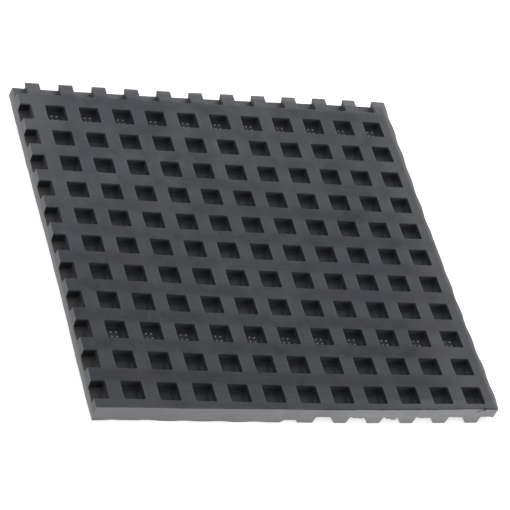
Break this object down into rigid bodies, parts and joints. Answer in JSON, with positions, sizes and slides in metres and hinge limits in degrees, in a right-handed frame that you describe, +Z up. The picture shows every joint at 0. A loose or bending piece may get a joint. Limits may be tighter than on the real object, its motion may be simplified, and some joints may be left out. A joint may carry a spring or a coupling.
{
  "type": "seedling heat mat",
  "caption": "Thin square black rubber mat with blind square cells moulded in both faces and cut edges, bonded round a hidden low-voltage heating laminate with an edge socket.",
  "frame": {"origin": "centre of the underside on the bench (bottom centre of the bounding box)", "axes": "+Z up out of the celled top face; +X from the left cut to the right cut; +Y from the front cut to the back cut, where the rib ends stand as teeth"},
  "size_m": [0.2976, 0.297, 0.0135],
  "materials": {
    "cell_rubber": "moulded satin black rubber with scuffs, paler and finely striated on the cut edges",
    "spreader_foil": "rolled matt aluminium foil",
    "insulating_film": "amber insulating film",
    "bonding_resin": "milky cured bonding layer",
    "carbon_print": "printed carbon, dry matt black",
    "copper_foil": "bare rolled copper",
    "tinned_crimp": "tin-plated pressed metal",
    "sleeve_plastic": "red extruded insulation",
    "cutout_case": "cream moulded thermoset case",
    "socket_plastic": "black glass-filled plastic",
    "contact_brass": "bright brass",
    "seal_rubber": "soft black rubber ring"
  },
  "bodies": {
    "root": {"upper_cell_sheet": "cell_rubber", "lower_cell_sheet": "cell_rubber", "heat_spreader": "spreader_foil", "lower_film": "insulating_film", "upper_film": "insulating_film", "bond_layer": "bonding_resin", "heat_strip_01": "carbon_print", "heat_strip_02": "carbon_print", "heat_strip_03": "carbon_print", "heat_strip_04": "carbon_print", "heat_strip_05": "carbon_print", "heat_strip_06": "carbon_print", "heat_strip_07": "carbon_print", "heat_strip_08": "carbon_print", "heat_strip_09": "carbon_print", "heat_strip_10": "carbon_print", "heat_strip_11": "carbon_print", "bus_bar_front": "copper_foil", "bus_bar_back": "copper_foil", "terminal_front": "tinned_crimp", "terminal_back": "tinned_crimp", "lead_ribbon_front": "copper_foil", "lead_sleeve_front": "sleeve_plastic", "lead_ribbon_back": "copper_foil", "lead_sleeve_back": "sleeve_plastic", "thermal_cutout": "cutout_case", "lead_ribbon_link": "copper_foil", "lead_sleeve_link": "sleeve_plastic", "socket_housing": "socket_plastic", "socket_pin": "contact_brass", "socket_spring": "contact_brass", "socket_seal": "seal_rubber"}
  },
  "joints": []
}
